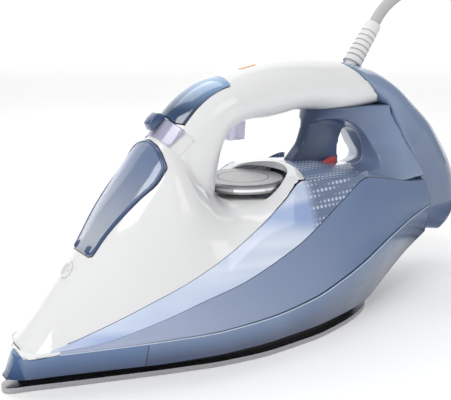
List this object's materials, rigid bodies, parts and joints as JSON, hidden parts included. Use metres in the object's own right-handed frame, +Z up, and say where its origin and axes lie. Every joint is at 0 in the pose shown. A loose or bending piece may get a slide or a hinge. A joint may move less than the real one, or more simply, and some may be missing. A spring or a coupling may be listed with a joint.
{
  "type": "steam iron",
  "caption": "Corded steam iron: pointed metal soleplate, clear tank sides, white loop handle, filling door, steam slider, spray button, temperature dial and swivelling cord.",
  "frame": {"origin": "on the ironing surface, at the middle of the body's length and width (the cord and plug are left out)", "axes": "+X from the nose towards the heel, +Y to the left side, +Z up from the ironing surface"},
  "size_m": [0.4498, 0.178, 0.21],
  "materials": {
    "sole_steel": "brushed",
    "casting": "cast",
    "heater_tube": "dull",
    "sheet_metal": "satin",
    "silicone": "matte",
    "black_plastic": "matte",
    "skirt_blue": "gloss",
    "satin_blue": "satin",
    "tank_clear": "clear",
    "white_gloss": "gloss",
    "deck_blue": "dimpled",
    "cover_blue": "gloss",
    "door_blue": "clear",
    "button_blue": "gloss",
    "lilac_clear": "clear",
    "natural_plastic": "natural",
    "dial_silver": "brushed",
    "chrome_band": "polished",
    "lamp_red": "clear",
    "mark_orange": "gloss",
    "steel_small": "plain",
    "ceramic": "matte",
    "wire_blue": "matte",
    "brass_part": "plain",
    "relief_white": "satin",
    "cord_grey": "satin",
    "tie_black": "matte",
    "plug_grey": "satin",
    "pin_metal": "nickel"
  },
  "bodies": {
    "iron": {"soleplate": "sole_steel", "heater_casting": "casting", "heating_element": "heater_tube", "chamber_cover": "sheet_metal", "chamber_gasket": "silicone", "heat_shield": "black_plastic", "skirt": "skirt_blue", "side_panel_left": "satin_blue", "side_panel_right": "satin_blue", "water_tank": "tank_clear", "upper_shell": "white_gloss", "handle_cover": "white_gloss", "rear_deck": "deck_blue", "rear_column": "satin_blue", "rear_cover": "cover_blue", "heel_feet": "black_plastic", "spray_nozzle": "white_gloss", "spray_hose": "natural_plastic", "inlet_cup": "cover_blue", "inlet_seal": "silicone", "door_hinge_pin": "steel_small", "spray_pump": "natural_plastic", "valve_seat": "brass_part", "boost_pump": "natural_plastic", "boost_pipe": "silicone", "thermostat": "ceramic", "thermal_fuse": "brass_part", "terminal_block": "ceramic", "lead_wires": "wire_blue", "indicator_lamp": "lamp_red", "handle_light": "mark_orange", "body_screws": "steel_small", "cord_socket": "black_plastic", "power_cord": "cord_grey", "cord_coil": "cord_grey", "cord_tie": "tie_black", "plug_lead": "cord_grey", "plug_body": "plug_grey", "plug_pins": "pin_metal"},
    "door": {"filling_door": "door_blue"},
    "button": {"spray_button": "button_blue", "spray_plunger": "natural_plastic"},
    "slider": {"steam_slider": "lilac_clear", "valve_lever": "natural_plastic"},
    "needle": {"valve_needle": "steel_small"},
    "trigger": {"steam_trigger": "lilac_clear", "boost_plunger": "natural_plastic"},
    "dial": {"temperature_dial": "dial_silver", "dial_trim": "chrome_band", "dial_spindle": "steel_small"},
    "swivel": {"strain_relief": "relief_white"}
  },
  "joints": [
    {"name": "filling_door_hinge", "type": "hinge", "parent": "iron", "child": "door", "pos_m": [-0.122, 0, 0.0648], "axis": [0, -1, 0], "range_deg": [0, 75]},
    {"name": "spray_button_press", "type": "slide", "parent": "iron", "child": "button", "axis": [0, 0, -1], "range_m": [0, 0.003], "stiffness_N_per_m": 300},
    {"name": "steam_slider_turn", "type": "hinge", "parent": "iron", "child": "slider", "pos_m": [-0.0645, 0, 0.114], "axis": [0.774, 0, 0.6332], "range_deg": [-25, 25]},
    {"name": "valve_needle_lift", "type": "slide", "parent": "iron", "child": "needle", "axis": [0, 0, 1], "range_m": [-0.0015, 0.0015]},
    {"name": "steam_trigger_press", "type": "slide", "parent": "iron", "child": "trigger", "axis": [0, 0, 1], "range_m": [0, 0.003], "stiffness_N_per_m": 300},
    {"name": "temperature_dial_turn", "type": "hinge", "parent": "iron", "child": "dial", "pos_m": [-0.01635, 0, 0.088], "axis": [0, 0, 1], "range_deg": [0, 270]},
    {"name": "cord_swivel", "type": "hinge", "parent": "iron", "child": "swivel", "pos_m": [0.073, 0, 0.157], "axis": [0.6046, 0, 0.7965], "range_deg": [-170, 170]}
  ],
  "couplings": [
    {"joint": "valve_needle_lift", "follows": "steam_slider_turn", "m_per_rad": 0.003438}
  ]
}
